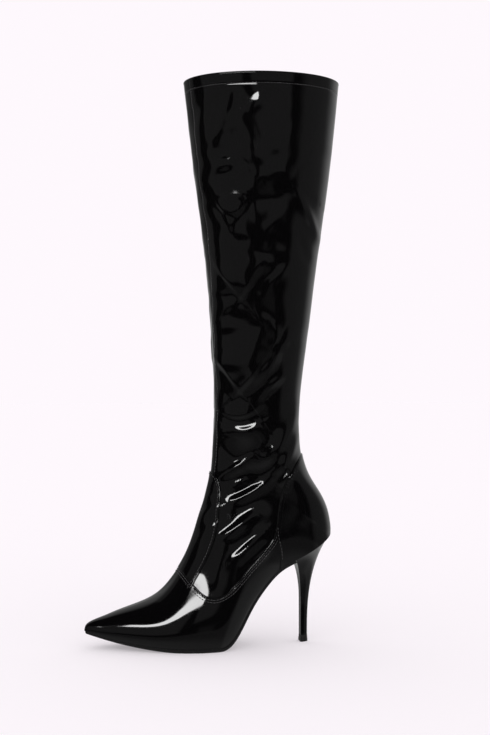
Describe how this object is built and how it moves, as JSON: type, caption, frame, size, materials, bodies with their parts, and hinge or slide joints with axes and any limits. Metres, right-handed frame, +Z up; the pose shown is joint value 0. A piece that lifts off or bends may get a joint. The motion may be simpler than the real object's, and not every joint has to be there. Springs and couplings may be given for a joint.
{
  "type": "tall stiletto boot",
  "caption": "Tall pull-on boot in black glossy stretch patent, with a pointed toe, curved vamp seam, back counter, thin sole and covered stiletto heel.",
  "frame": {"origin": "middle of the boot's box, on the floor that it stands on", "axes": "+X towards the toe, +Y to the outer side of the left foot, +Z up the leg to the collar"},
  "size_m": [0.255, 0.1108, 0.5625],
  "materials": {
    "patent": "high-gloss patent",
    "stretch_patent": "high-gloss stretch patent with a woven back",
    "outsole": "satin",
    "insole": "matte sock lining",
    "heel_cover": "high-gloss patent cover over a moulded core",
    "tip_rubber": "satin hard rubber"
  },
  "bodies": {
    "root": {"upper": "patent", "shaft": "stretch_patent", "counter": "patent", "instep_panel": "patent", "outsole": "outsole", "insole": "insole", "heel": "heel_cover", "heel_tip": "tip_rubber"}
  },
  "joints": []
}
